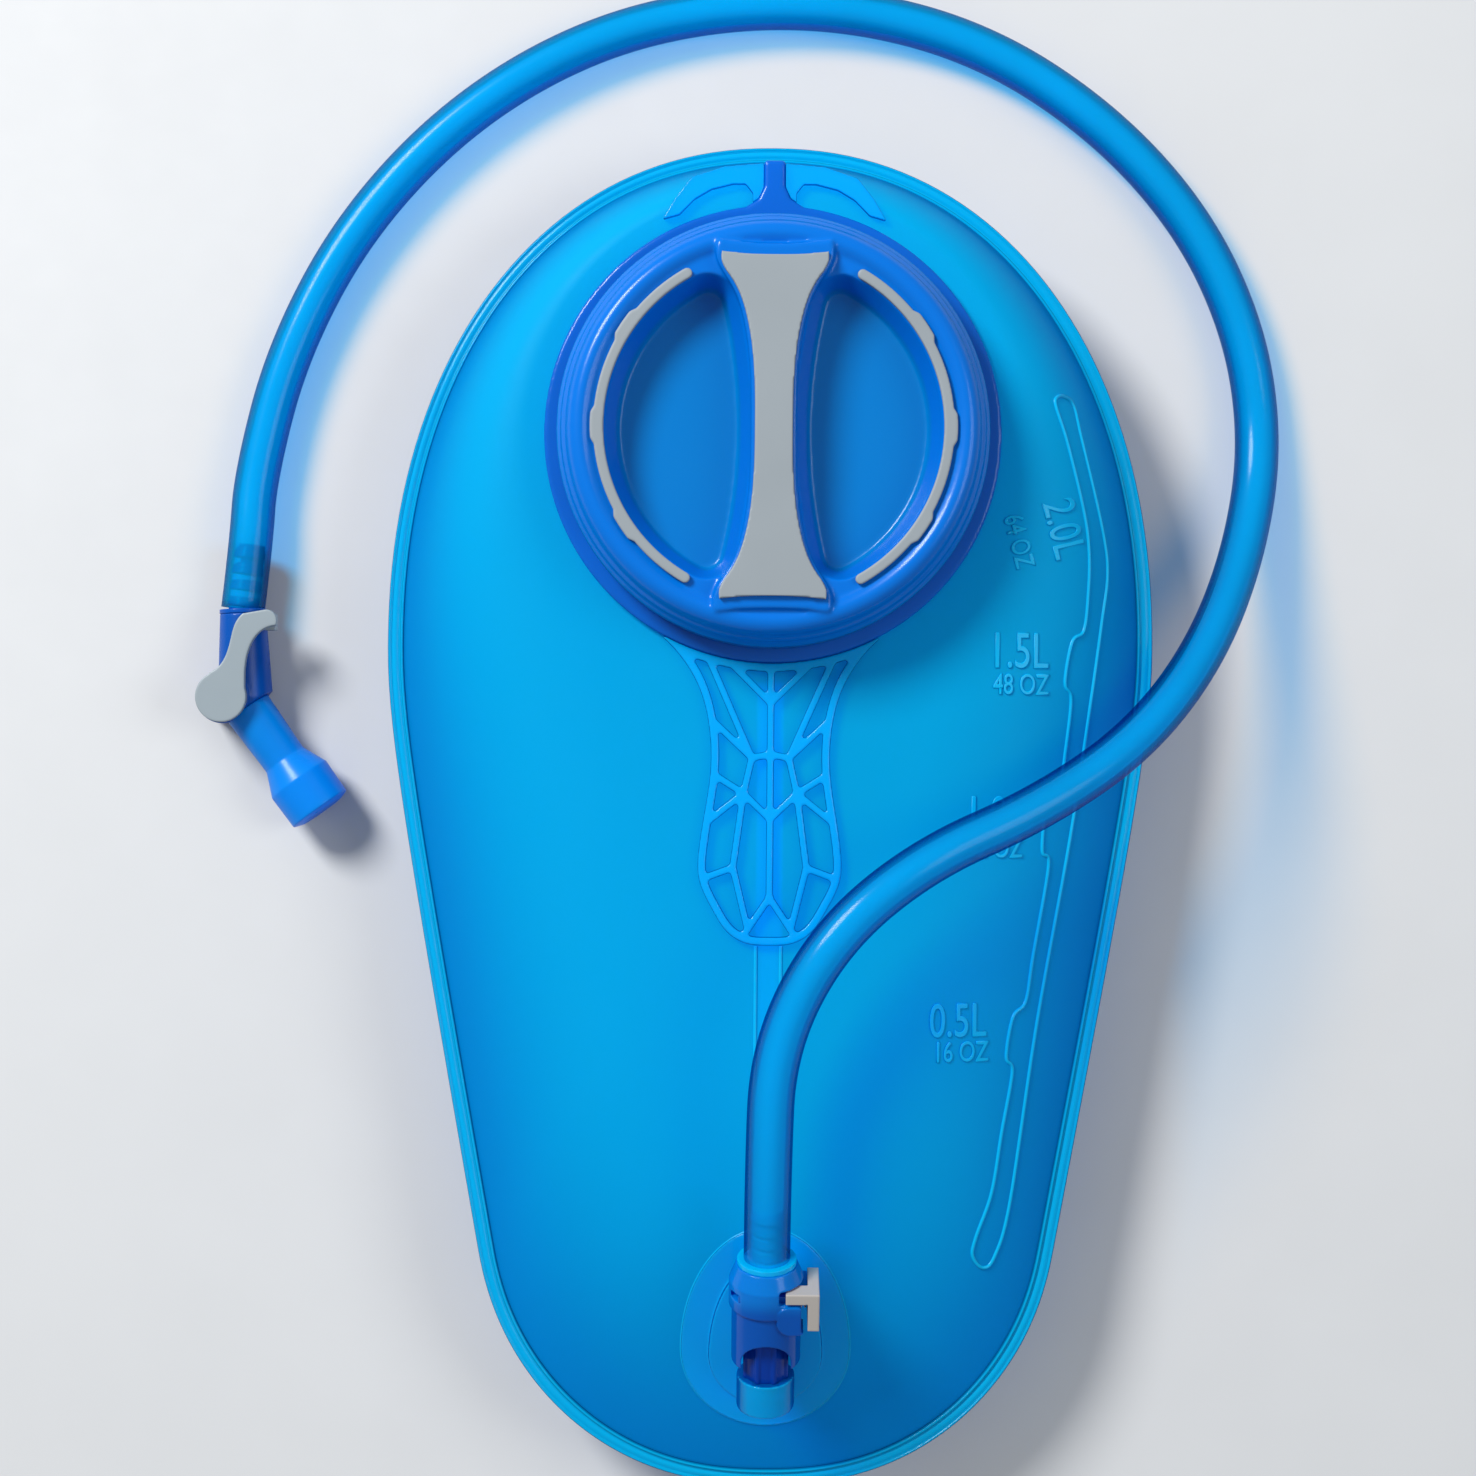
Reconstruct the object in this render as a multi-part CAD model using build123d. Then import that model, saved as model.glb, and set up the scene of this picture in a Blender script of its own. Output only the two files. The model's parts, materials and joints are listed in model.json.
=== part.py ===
from build123d import *
import math
import os

# Hydration bladder, lying on its back. Millimetres, +Z up, +Y towards the fill-port end, +X to the
# right. The origin is on the floor, under the middle of the bag.

# Bag
HALF_WIDTH = 98.0  # widest half width, weld flange included
END_Y = 171.4  # the bag's ends are this far from its middle
WIDEST_Y = 43.0  # the bag is widest here
TOE_Y = -111.0  # the straight sides end here
TAPER = 0.185  # how fast the sides close towards the toe
SHOULDER = 25.0  # how softly the taper begins
HEAD_POWER = 2.15  # superellipse power of the round head
TOE_POWER = 2.3  # the same for the toe
FLANGE = 3.6  # width of the weld flange
FLANGE_T = 0.7  # each panel's thickness in the flange
FILM = 1.0  # film thickness
SEAM_Z = 26.0  # height of the welded seam
PORT_Z = 50.0  # height of the flat of the front panel, under the fill port
DOME_LEVELS = (0.0, 0.2, 0.45, 0.72, 1.0)  # shares of the way from the seam to the flat
REST_SHARE = (0.52, 0.76)  # the flat that the back rests on, as shares of the outline

# Fill port and cap
PORT_Y = 95.4  # centre of the fill port
FLAT_R = 61.0  # radius of the flat around the port
FLAT_TAIL = (-44.0, 17.0)  # centre and radius of the flat's narrow end
COLLAR_R = 56.7
COLLAR_T = 2.6
NECK_R = 45.0
BORE_R = 42.0
NECK_DROP = 4.0  # how far the neck hangs inside the bag
NECK_H = 10.0  # how far the neck stands above the film
GASKET_TOP = PORT_Z + 12.25
THREAD_LEAD = 9.0  # rise in one turn
THREAD_STARTS = 3
THREAD_SPAN = 100.0  # degrees that each thread ridge covers
THREAD_T = 1.0  # axial thickness of a ridge
THREAD_REACH = 1.8  # how far a ridge stands out of its wall
THREAD_Z = PORT_Z + 4.8  # where the collar's ridges begin
SKIRT_IN_R = 47.6
SKIRT_R = 53.2
DISH_R = 41.4  # outside of the cap's dish, inside the neck
DISH_FLOOR = PORT_Z + 10.2
LEDGE_IN_R = 41.0  # the ledge that carries the crescent grips
LEDGE_OUT_R = 44.6
LEDGE_Z = PORT_Z + 20.0
POCKET_CORNER = 7.0
POCKET_LEAN = 18.0  # degrees that a pocket's walls lean
BAR_Z = PORT_Z + 22.4  # top of the cap's bar, under its grip
BAR_END = 12.8  # half width of the bar grip at its ends
BAR_WAIST = 4.6  # half width of the bar grip at its waist
BAR_HALF = 41.8  # half length of the bar grip
BAR_MARGIN = 0.9  # blue margin around the bar grip
BAR_FLARE = ((2.6, 1.0), (6.4, 0.72), (9.6, 0.5), (17.0, 0.22), (25.0, 0.07))  # way from its end, share
GRIP_T = 1.6

# Hanger and handle, in the plane of the collar
POST_HALF = 2.65
POST_TOP = 163.2
WING_T = 2.2
HANDLE_T = 2.6
HANDLE_RIM = 2.1
RIB = 1.8

# Outlet, measured along the coupler's axis from its lower rim
OUTLET = (0.0, -133.0, 52.0)
OUTLET_TILT = 20.0
WATER_R = 3.2  # the hole from the bag up into the outlet's boss
WATER_Y = -141.5
COUPLER_R = 8.55
COUPLER_COLLAR_R = 9.3
COUPLER_L = 26.6
COLLAR_AT = 15.5
NIPPLE_R = 6.0
STEM_R = 4.3
STEM_END = 23.0
LATCH_AT = 19.0
LATCH_T = 1.6
LATCH_OFFSET = 0.9  # the latch hole's offset when it is latched, and the travel that frees it
BUTTON_X = 12.8
BUTTON_LOW, BUTTON_TOP = 12.4, 22.4
BUTTON_ARM = 19.7  # underside of the button's arm
SPRING_AT = 15.3
RING_T = 1.4

# Drink tube
TUBE_R = 5.7
TUBE_BORE = 3.8
BARB_R = 4.2
FLOW_R = 2.4
EXIT_RUN = 24.0

# Bite valve, lying on the floor
VALVE_Z = 8.8
PIVOT = (-142.3, 29.8)
TUBE_END = (-138.2, 52.9)
ELBOW = (-137.4, 30.6)
SPOOL_R = 4.65
SPOOL_BORE = 4.7
BARREL_R = 6.9
BARREL_Z = (1.7, 16.0)
LEVER_T = 2.4
MOUTH_START = (-136.7, 26.8)
MOUTH_END = (-117.1, 0.0)

# The drink tube's route after its straight exit, over the bag's right edge and round its head
ROUTE = [
    (1.0, -54.0, 74.0),
    (14.0, -28.0, 76.0),
    (36.5, -9.0, 73.0),
    (66.0, 3.5, 62.5),
    (92.0, 20.5, 49.0),
    (111.0, 43.0, 32.0),
    (123.5, 70.0, 15.0),
    (129.0, 99.0, 6.0),
    (124.5, 128.5, 5.8),
    (110.5, 157.5, 5.8),
    (87.0, 183.0, 5.8),
    (56.0, 203.0, 5.8),
    (21.0, 212.5, 5.8),
    (-15.0, 212.5, 5.8),
    (-50.0, 203.5, 5.8),
    (-83.0, 183.5, 5.8),
    (-110.0, 154.5, 5.8),
    (-127.5, 121.0, 5.9),
    (-135.5, 88.0, 6.9),
]


def lerp(a, b, share):
    """The point a share of the way from a to b."""
    return tuple(p + (q - p) * share for p, q in zip(a, b))


def turned(r, degrees, centre=(0.0, 0.0)):
    """The point at radius r and this angle about a centre."""
    angle = math.radians(degrees)
    return (centre[0] + r * math.cos(angle), centre[1] + r * math.sin(angle))


def side_half_width(y):
    """Half width of the tapering sides, before the ends are rounded."""
    below = max(0.0, WIDEST_Y - y)
    return HALF_WIDTH - TAPER * (math.hypot(below, SHOULDER) - SHOULDER)


def right_side():
    """Points of the bag's right edge, from the middle of the head to the middle of the toe."""
    points = []
    for step in range(10):
        turn = math.radians(9.0 * step)
        x = HALF_WIDTH * math.sin(turn) ** (2 / HEAD_POWER)
        y = WIDEST_Y + (END_Y - WIDEST_Y) * math.cos(turn) ** (2 / HEAD_POWER)
        points.append((x, y))
    for step in range(6):
        y = WIDEST_Y + (TOE_Y - WIDEST_Y) * step / 6
        points.append((side_half_width(y), y))
    for step in range(10):
        turn = math.radians(10.0 * step)
        y = TOE_Y - (END_Y + TOE_Y) * math.sin(turn) ** (2 / TOE_POWER)
        x = side_half_width(y) * max(0.0, math.cos(turn)) ** (2 / TOE_POWER)
        points.append((x, y))
    return points


def both_sides(right):
    """A closed run of points from those of its right side."""
    return right + [(-x, y) for x, y in reversed(right[1:-1])]


def inset(right, distance):
    """The right side moved inwards by a distance, square to its own line."""
    moved = []
    last = len(right) - 1
    for i, (x, y) in enumerate(right):
        before = right[i - 1] if i else (-right[1][0], right[1][1])
        after = right[i + 1] if i < last else (-right[last - 1][0], right[last - 1][1])
        along = (after[0] - before[0], after[1] - before[1])
        size = math.hypot(*along)
        moved.append((x + along[1] / size * distance, y - along[0] / size * distance))
    return moved


def flat_half_width(y):
    """Half width of the front panel's flat: a large circle running down to a small one."""
    tail_y, tail_r = FLAT_TAIL
    lean = (FLAT_R - tail_r) / (PORT_Y - tail_y)
    high = PORT_Y - FLAT_R * lean
    low = tail_y - tail_r * lean
    if y >= high:
        return math.sqrt(max(0.0, FLAT_R**2 - (y - PORT_Y) ** 2))
    if y <= low:
        return math.sqrt(max(0.0, tail_r**2 - (y - tail_y) ** 2))
    across = math.sqrt(1 - lean**2)
    return across * (tail_r + (FLAT_R - tail_r) * (y - low) / (high - low))


def flat_side(right):
    """The flat's right side, point for point with the bag's."""
    high = PORT_Y + FLAT_R
    low = FLAT_TAIL[0] - FLAT_TAIL[1]
    points = []
    for _, y in right:
        share = (END_Y - y) / (2 * END_Y)
        flat_y = high + (low - high) * share
        points.append((flat_half_width(flat_y), flat_y))
    return points


def level_wire(outer, inner, share, z):
    """The closed wire a share of the way from the outer points to the inner ones."""
    points = [lerp(a, b, share) for a, b in zip(outer, inner)]
    return Wire([Spline([(x, y, z) for x, y in both_sides(points)], periodic=True)])


def front_dome(skin=0.0):
    """The space under the front panel, shrunk by a skin, or grown by a negative one."""
    edge = inset(right_side(), FLANGE + skin)
    flat = inset(flat_side(right_side()), skin)
    wires = []
    for share in DOME_LEVELS:
        rise = (PORT_Z - SEAM_Z) * (1 - (1 - share) ** 2)
        wires.append(level_wire(edge, flat, share, SEAM_Z + rise - skin))
    return Solid.make_loft(wires)


def back_dome(skin=0.0):
    """The space over the back panel, shrunk by a skin."""
    edge = inset(right_side(), FLANGE + skin)
    rest = [(x * REST_SHARE[0], y * REST_SHARE[1]) for x, y in inset(right_side(), skin)]
    wires = []
    for share in DOME_LEVELS:
        drop = SEAM_Z * (1 - (1 - share) ** 2)
        wires.append(level_wire(edge, rest, share, SEAM_Z - drop + skin))
    return Solid.make_loft(wires)


def flange_ring(z):
    """The flat welded flange of one panel."""
    outside = make_face(level_wire(right_side(), right_side(), 0.0, z))
    hole = make_face(level_wire(inset(right_side(), FLANGE + FILM / 2), right_side(), 0.0, z))
    return extrude(outside - hole, FLANGE_T)


def mirrored(shape):
    """The shape's twin on the other side of the bag."""
    return mirror(shape, Plane.YZ)


def cylinder(r, low, high, at=(0.0, 0.0)):
    """An upright cylinder between two heights."""
    middle = (at[0], at[1], (low + high) / 2)
    return Pos(*middle) * Cylinder(r, high - low)


def block(low, high):
    """A box between two corners."""
    size = [b - a for a, b in zip(low, high)]
    return Pos(*lerp(low, high, 0.5)) * Box(*size)


def polygon(points):
    """A closed face through points joined by straight lines."""
    return make_face(Polyline(*points, close=True))


def outlet_frame(along):
    """Plane square to the coupler's axis, x across the bag and y towards the film."""
    tilt = math.radians(OUTLET_TILT)
    axis = Vector(0, math.cos(tilt), math.sin(tilt))
    return Plane(Vector(*OUTLET) + axis * along, x_dir=(1, 0, 0), z_dir=axis)


def outlet_round(r, low, high):
    """A cylinder on the coupler's axis."""
    return outlet_frame((low + high) / 2) * Cylinder(r, high - low)


def outlet_block(low, high):
    """A box in the coupler's own frame: x across, y towards the film, z along the axis."""
    size = [b - a for a, b in zip(low, high)]
    return outlet_frame(0) * Pos(*lerp(low, high, 0.5)) * Box(*size)


def water_hole():
    """The hole that leads water from the bag up into the outlet."""
    return cylinder(WATER_R, 25.0, 47.0, (0.0, WATER_Y))


def front_panel():
    """Domed front film with its weld flange, port hole and outlet hole."""
    shell = front_dome() - front_dome(FILM)
    shell += flange_ring(SEAM_Z)
    shell -= cylinder(NECK_R, PORT_Z - 5, PORT_Z + 5, (0, PORT_Y))
    return shell - water_hole()


def back_panel():
    """Back film with its weld flange and the flat it rests on."""
    return back_dome() - back_dome(FILM) + flange_ring(SEAM_Z - FLANGE_T)


def centre_baffle():
    """Web down the middle of the bag, with a strip along each edge that is welded to the film."""
    bite = FILM - 0.3
    strip = FILM + 0.8
    low, high = -98.0, 34.0
    inside = front_dome(bite) + back_dome(bite)
    web = block((-0.6, low, 0), (0.6, high, PORT_Z + 5)) & inside
    strips = (block((-3.3, low, 0), (3.3, high, PORT_Z + 5)) & inside) - (
        front_dome(strip) + back_dome(strip)
    )
    return web + strips


def thread_ridges(inner, outer, z):
    """The ridges of a multi-start thread between two radii, starting at a height."""
    rise = THREAD_LEAD * THREAD_SPAN / 360
    middle = (inner + outer) / 2
    path = Helix(pitch=THREAD_LEAD, height=rise, radius=middle)
    profile = Plane(path @ 0, x_dir=(1, 0, 0), z_dir=path % 0) * Rectangle(outer - inner, THREAD_T)
    ridge = sweep(profile, path=path, is_frenet=True)
    step = 360 / THREAD_STARTS
    return [Pos(0, PORT_Y, z) * Rot(0, 0, i * step) * ridge for i in range(THREAD_STARTS)]


def post_outline():
    """The post that joins the collar to the top weld, flared where it meets the collar."""
    foot = PORT_Y + COLLAR_R
    points = [
        (POST_HALF, POST_TOP),
        (POST_HALF, foot + 4.5),
        (4.0, foot + 1.6),
        (8.0, foot - 1.0),
        (8.0, foot - 6.0),
    ]
    return polygon(points + [(-x, y) for x, y in reversed(points)])


def fill_port_collar():
    """Welded collar: flange, threaded neck and the post up to the top weld."""
    post = Pos(0, 0, PORT_Z) * extrude(post_outline(), COLLAR_T)
    body = cylinder(COLLAR_R, PORT_Z, PORT_Z + COLLAR_T, (0, PORT_Y)) + post
    body += cylinder(NECK_R - 0.05, PORT_Z - NECK_DROP, PORT_Z + NECK_H, (0, PORT_Y))
    body -= cylinder(BORE_R, PORT_Z - 10, PORT_Z + 20, (0, PORT_Y))
    for ridge in thread_ridges(NECK_R - 0.4, NECK_R + THREAD_REACH, THREAD_Z):
        body += ridge
    return body


def hanger_wing():
    """Right-hand clear wing: a hooked frame whose slot takes a hanging strap."""
    outer = [(1.5, 162.6), (12.5, 161.6), (20.6, 158.9), (24.6, 153.8), (27.8, 148.4)]
    inner = [(23.6, 149.6), (19.9, 153.4), (15.7, 155.9), (10.2, 157.3), (7.2, 157.3), (5.4, 155.0)]
    foot = [(5.6, 150.0), (1.5, 150.0)]
    plate = extrude(polygon(outer + inner + foot), WING_T)
    return Pos(0, 0, PORT_Z + 0.2) * plate


def handle_half_outline():
    """Right edge of the carry handle, from under the collar to the middle of its end."""
    return [
        (27.0, 45.0),
        (21.8, 39.4),
        (17.6, 32.0),
        (15.3, 23.0),
        (14.8, 13.0),
        (16.0, 3.2),
        (17.6, -7.5),
        (17.5, -15.0),
        (14.2, -22.4),
        (10.0, -28.4),
        (4.8, -31.0),
        (0.0, -31.3),
    ]


def handle_ribs():
    """End points of the ribs on the handle's right half; those off the middle have a mirror twin."""
    v_root = (0.0, 28.8)
    crown = (0.0, 16.1)
    crown_corner = (4.6, 15.2)
    waist = (6.6, 6.4)
    keel = (0.0, 0.0)
    hip = (9.1, -12.0)
    tail = (0.0, -19.4)
    return [
        ((0.0, 42.0), v_root),
        (v_root, crown),
        (crown, keel),
        (keel, tail),
        (v_root, (10.6, 39.3)),
        (crown, crown_corner),
        (crown_corner, (16.4, 42.0)),
        (crown_corner, (14.6, 24.6)),
        (crown_corner, waist),
        (waist, (14.6, 11.4)),
        (waist, (15.4, -0.6)),
        (waist, keel),
        (waist, hip),
        (hip, (16.6, -14.8)),
        (hip, (5.4, -27.0)),
        (tail, (6.2, -28.6)),
    ]


def bar(a, b, width):
    """A straight flat bar between two points."""
    length = math.dist(a, b)
    angle = math.degrees(math.atan2(b[1] - a[1], b[0] - a[0]))
    return Pos(*lerp(a, b, 0.5)) * Rot(0, 0, angle) * Rectangle(length + width, width)


def handle_face(right, collar_radius):
    """The handle's outline from its right half, ending at a circle round the port."""
    left = [(-x, y) for x, y in reversed(right[:-1])]
    edge = Wire([Spline(right + left), Line(left[-1], right[0])])
    return make_face(edge) - Pos(0, PORT_Y) * Circle(collar_radius)


def carry_handle():
    """Clear lattice handle below the collar, moulded as a rim and ribs."""
    right = handle_half_outline()
    outside = handle_face(right, COLLAR_R)
    shoulder = (right[0][0] - HANDLE_RIM, right[0][1])
    opening = handle_face([shoulder] + inset(right, HANDLE_RIM)[1:], COLLAR_R + HANDLE_RIM)
    ribs = [bar(a, b, RIB) for a, b in handle_ribs()]
    ribs += [bar((-a[0], a[1]), (-b[0], b[1]), RIB) for a, b in handle_ribs() if a[0] or b[0]]
    opening -= ribs
    return Pos(0, 0, PORT_Z) * extrude(outside - opening, HANDLE_T)


def bar_outline(margin, top):
    """The cap's hourglass bar along Y, grown by a margin, with slightly hollow ends."""
    end, waist = BAR_END + margin, BAR_WAIST + margin
    flare = [(waist + (end - waist) * share, BAR_HALF - back) for back, share in BAR_FLARE]
    upper = [(end, top), *flare]
    side = upper + [(waist, 0)] + [(x, -y) for x, y in reversed(upper)]
    right = Spline(side)
    left = Spline([(-x, y) for x, y in side])
    hollow = top - 0.8
    head = ThreePointArc((end, top), (0, hollow), (-end, top))
    foot = ThreePointArc((end, -top), (0, -hollow), (-end, -top))
    return make_face(Wire([right, head, left, foot]))


def cap_profile():
    """Half section of the cap before its pockets: threaded skirt, rolled crest, ledge and plug."""
    underside = GASKET_TOP + 0.05
    skirt_foot = PORT_Z + 3.2
    start = (SKIRT_IN_R, skirt_foot)
    outer = [start, (SKIRT_R - 0.6, skirt_foot), (SKIRT_R, PORT_Z + 4.0), (SKIRT_R - 0.2, PORT_Z + 12.6)]
    outer += [(SKIRT_R - 1.3, PORT_Z + 13.7), (SKIRT_R - 1.5, PORT_Z + 15.6), (SKIRT_R - 2.6, PORT_Z + 16.6)]
    outer += [(SKIRT_R - 2.9, PORT_Z + 18.0)]
    crest = ThreePointArc(outer[-1], (SKIRT_R - 4.1, PORT_Z + 20.4), (46.6, PORT_Z + 21.4))
    inner = [
        (46.6, PORT_Z + 21.4),
        (LEDGE_OUT_R + 0.3, LEDGE_Z + 0.6),
        (LEDGE_OUT_R, LEDGE_Z),
        (0, LEDGE_Z),
        (0, DISH_FLOOR - 2.4),
        (38.4, DISH_FLOOR - 2.4),
        (DISH_R, DISH_FLOOR - 0.4),
        (DISH_R, underside),
        (SKIRT_IN_R, underside),
        start,
    ]
    wire = Wire([*Polyline(*outer).edges(), crest, *Polyline(*inner).edges()])
    return make_face(Plane.XZ * wire)


def finger_pocket():
    """Right-hand D-shaped pocket beside the bar, its walls leaning in towards its floor."""
    end, waist, far = BAR_END + BAR_MARGIN, BAR_WAIST + BAR_MARGIN, LEDGE_IN_R + 5.0
    beside_bar = ThreePointArc((end, far), (waist, 0), (end, -far))
    rest = Polyline((end, -far), (-far, -far), (-far, far), (end, far))
    mouth = (Circle(LEDGE_IN_R) - make_face(Wire([beside_bar, *rest.edges()]))).face()
    mouth = fillet(mouth.vertices(), POCKET_CORNER)
    return Pos(0, PORT_Y, LEDGE_Z) * extrude(mouth, LEDGE_Z - DISH_FLOOR, dir=(0, 0, -1), taper=POCKET_LEAN)


def cap_shell():
    """Moulded cap: plug with two finger pockets either side of a waisted bar."""
    body = Pos(0, PORT_Y, 0) * revolve(cap_profile(), Axis.Z)
    bar = extrude(bar_outline(BAR_MARGIN, BAR_HALF + 3.0), BAR_Z - LEDGE_Z + 1)
    pocket = finger_pocket()
    body = body + Pos(0, PORT_Y, LEDGE_Z - 1) * bar - pocket - mirrored(pocket)
    for ridge in thread_ridges(SKIRT_IN_R - THREAD_REACH, SKIRT_IN_R + 0.4, THREAD_Z + 1.5):
        body += ridge
    return body


def cap_bar_grip():
    """Soft grip moulded over the top of the cap's bar."""
    pad = extrude(bar_outline(0.0, BAR_HALF), GRIP_T)
    return Pos(0, PORT_Y, BAR_Z) * pad


def cap_crescent_grip():
    """Right-hand crescent grip with three bumps along its outer edge."""
    half_angle = 60.0
    middle_r = 42.4
    band = 2.5
    arc = CenterArc((0, 0), middle_r, -half_angle, 2 * half_angle)
    sketch = trace(arc, line_width=band)
    for angle in (-half_angle, half_angle):
        sketch += Pos(*turned(middle_r, angle)) * Circle(band / 2)
    ring = Circle(LEDGE_OUT_R - 0.15) - Circle(middle_r)
    for angle in (-34.0, 0.0, 34.0):
        sketch += Pos(*turned(37.6, angle)) * Circle(7.4) & ring
    return Pos(0, PORT_Y, LEDGE_Z) * extrude(sketch, GRIP_T)


def cap_gasket():
    """Flat gasket between the neck's rim and the cap."""
    low = PORT_Z + NECK_H + 0.05
    ring = cylinder(NECK_R - 0.2, low, GASKET_TOP, (0, PORT_Y))
    return ring - cylinder(BORE_R + 0.2, low - 1, GASKET_TOP + 1, (0, PORT_Y))


def egg(half_width, low, high, widest):
    """An egg-shaped face, its ends half ellipses that meet at the widest line."""
    upper = EllipticalCenterArc((0, widest), half_width, high - widest, 0, arc_size=180)
    lower = EllipticalCenterArc((0, widest), half_width, widest - low, 180, arc_size=180)
    return make_face(Wire([upper, lower]))


def outlet_port():
    """Clear outlet: a thin weld skirt and a boat on the film, with a boss that turns the flow."""
    film = front_dome()
    weld = Pos(0, 0, 20) * extrude(egg(21.3, -154.6, -102.2, -134.0), 40)
    boat = Pos(0, 0, 20) * extrude(egg(14.2, -148.4, -110.0, -135.0), 40)
    body = (front_dome(-0.8) & weld) + (front_dome(-2.6) & boat)
    boss = outlet_round(7.2, -13.5, -4.6) + block((-5.4, -147.0, 30.0), (5.4, -137.6, 48.0))
    body = body + boss - film
    body -= outlet_round(FLOW_R + 0.9, -8.9, -4.0)
    return body - cylinder(WATER_R, 20.0, OUTLET[2] - 3.0, (0.0, WATER_Y))


def outlet_nipple():
    """Male half of the quick link: ribbed base, bored stem, seal groove and latch groove."""
    body = outlet_round(NIPPLE_R - 0.6, -4.6, 7.4)
    for step in range(8):
        body += outlet_frame(1.4) * Pos(*turned(NIPPLE_R - 0.9, 45.0 * step + 22.5), 0) * Cylinder(0.9, 12.0)
    body += outlet_round(STEM_R, 7.4, STEM_END)
    groove = outlet_round(STEM_R + 1, LATCH_AT - 0.4, LATCH_AT + LATCH_T + 0.4)
    body -= groove - outlet_round(STEM_R - 0.8, LATCH_AT - 1, LATCH_AT + LATCH_T + 1)
    seal = outlet_round(STEM_R + 1, 13.0, 15.0)
    body -= seal - outlet_round(STEM_R - 1.1, 12.0, 16.0)
    return body - outlet_round(FLOW_R, -5.0, STEM_END + 1)


def outlet_o_ring():
    """Seal in the stem's groove."""
    section_r = 0.55
    return outlet_frame(14.0) * Torus(STEM_R - 0.5, section_r)


def check_poppet():
    """Self-closing valve inside the stem, held open by the coupler."""
    head = outlet_round(1.9, 2.0, 3.4) + outlet_round(0.7, 3.4, 22.0)
    return head + outlet_round(1.5, 20.6, 22.0)


def coil(mean_r, wire_r, length, turns):
    """A coil spring along Z from zero."""
    path = Helix(pitch=(length - 2 * wire_r) / turns, height=length - 2 * wire_r, radius=mean_r)
    profile = Plane(path @ 0, x_dir=(1, 0, 0), z_dir=path % 0) * Circle(wire_r)
    return Pos(0, 0, wire_r) * sweep(profile, path=path, is_frenet=True)


def check_spring():
    """Spring that closes the poppet when the coupler comes off."""
    return outlet_frame(-3.4) * coil(1.7, 0.22, 5.2, 4)


def coupler_body():
    """Female half of the quick link, latched on the nipple, with its arch-shaped front notch."""
    body = outlet_round(COUPLER_R, 0, COLLAR_AT + 0.5) + outlet_round(COUPLER_COLLAR_R, COLLAR_AT, BUTTON_TOP)
    crown = COUPLER_L - BUTTON_TOP
    body += outlet_frame(BUTTON_TOP + crown / 2) * Cone(COUPLER_COLLAR_R, COUPLER_COLLAR_R - 1.7, crown)
    lug = extrude(RectangleRounded(7.8, 7.8, 3.2), 3.6, both=True)
    body += outlet_frame(15.1) * Pos(6.4, -5.4, 0) * Rot(90, 0, 0) * lug
    body = body - outlet_round(NIPPLE_R + 0.15, -1, 7.6) - outlet_round(STEM_R + 0.08, 7, STEM_END + 0.2)
    body -= outlet_round(FLOW_R, STEM_END - 1, COUPLER_L + 1)
    notch = outlet_block((-6.1, -12.0, -1.0), (6.1, 0.0, 1.6))
    arch = outlet_frame(1.6) * Pos(0, -6, 0) * Rot(90, 0, 0) * Cylinder(6.1, 12)
    body -= notch + arch
    slot_low, slot_high = LATCH_AT - 0.15, LATCH_AT + LATCH_T + 0.15
    body -= outlet_block((-8.6, -6.5, slot_low), (14.0, 6.5, slot_high))
    body -= outlet_block((3.0, -12.0, BUTTON_ARM - 0.4), (14.0, -3.2, BUTTON_TOP + 0.4))
    body -= outlet_block((8.4, -12.0, BUTTON_LOW - 0.4), (14.0, 5.4, BUTTON_TOP + 0.4))
    pocket = outlet_frame(SPRING_AT) * Pos(7.5, 1.0, 0) * Rot(0, 90, 0) * Cylinder(2.0, 4.0)
    return body - pocket


def release_button():
    """Push button on the coupler's side, its arm over the front of the collar."""
    leg = outlet_block((10.0, -8.6, BUTTON_LOW), (BUTTON_X, 5.0, BUTTON_TOP))
    arm = outlet_block((4.6, -8.6, BUTTON_ARM), (BUTTON_X, -3.6, BUTTON_TOP))
    return leg + arm - latch_plate()


def latch_plate():
    """Sliding plate whose hole's edge sits in the nipple's groove until the button is pressed."""
    plate = outlet_block((-7.0, -6.3, LATCH_AT), (10.0, 6.3, LATCH_AT + LATCH_T))
    middle = LATCH_AT + LATCH_T / 2
    return plate - outlet_frame(middle) * Pos(LATCH_OFFSET, 0, 0) * Cylinder(STEM_R + 0.3, 10)


def button_spring():
    """Spring that pushes the button out."""
    return outlet_frame(SPRING_AT) * Pos(5.6, 1.0, 0) * Rot(0, 90, 0) * coil(1.5, 0.25, 4.3, 4)


def barbed(flow_frame, stem_r, length, count):
    """A hose barb from its frame's origin along its axis."""
    body = flow_frame * Pos(0, 0, length / 2) * Cylinder(stem_r, length)
    pitch = length / count
    for i in range(count):
        cone = Pos(0, 0, (i + 0.5) * pitch) * Cone(BARB_R, stem_r, pitch * 0.7)
        body += flow_frame * cone
    return body - flow_frame * Pos(0, 0, length / 2) * Cylinder(FLOW_R, length * 3)


def coupler_barb():
    """Barb that holds the tube, with the pale ring that caps the coupler."""
    ring = outlet_round(7.3, COUPLER_L, COUPLER_L + RING_T)
    barb = barbed(outlet_frame(COUPLER_L + RING_T), TUBE_BORE - 0.1, 13.6, 4)
    return ring + barb - outlet_round(FLOW_R, COUPLER_L - 1, COUPLER_L + 3)


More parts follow.
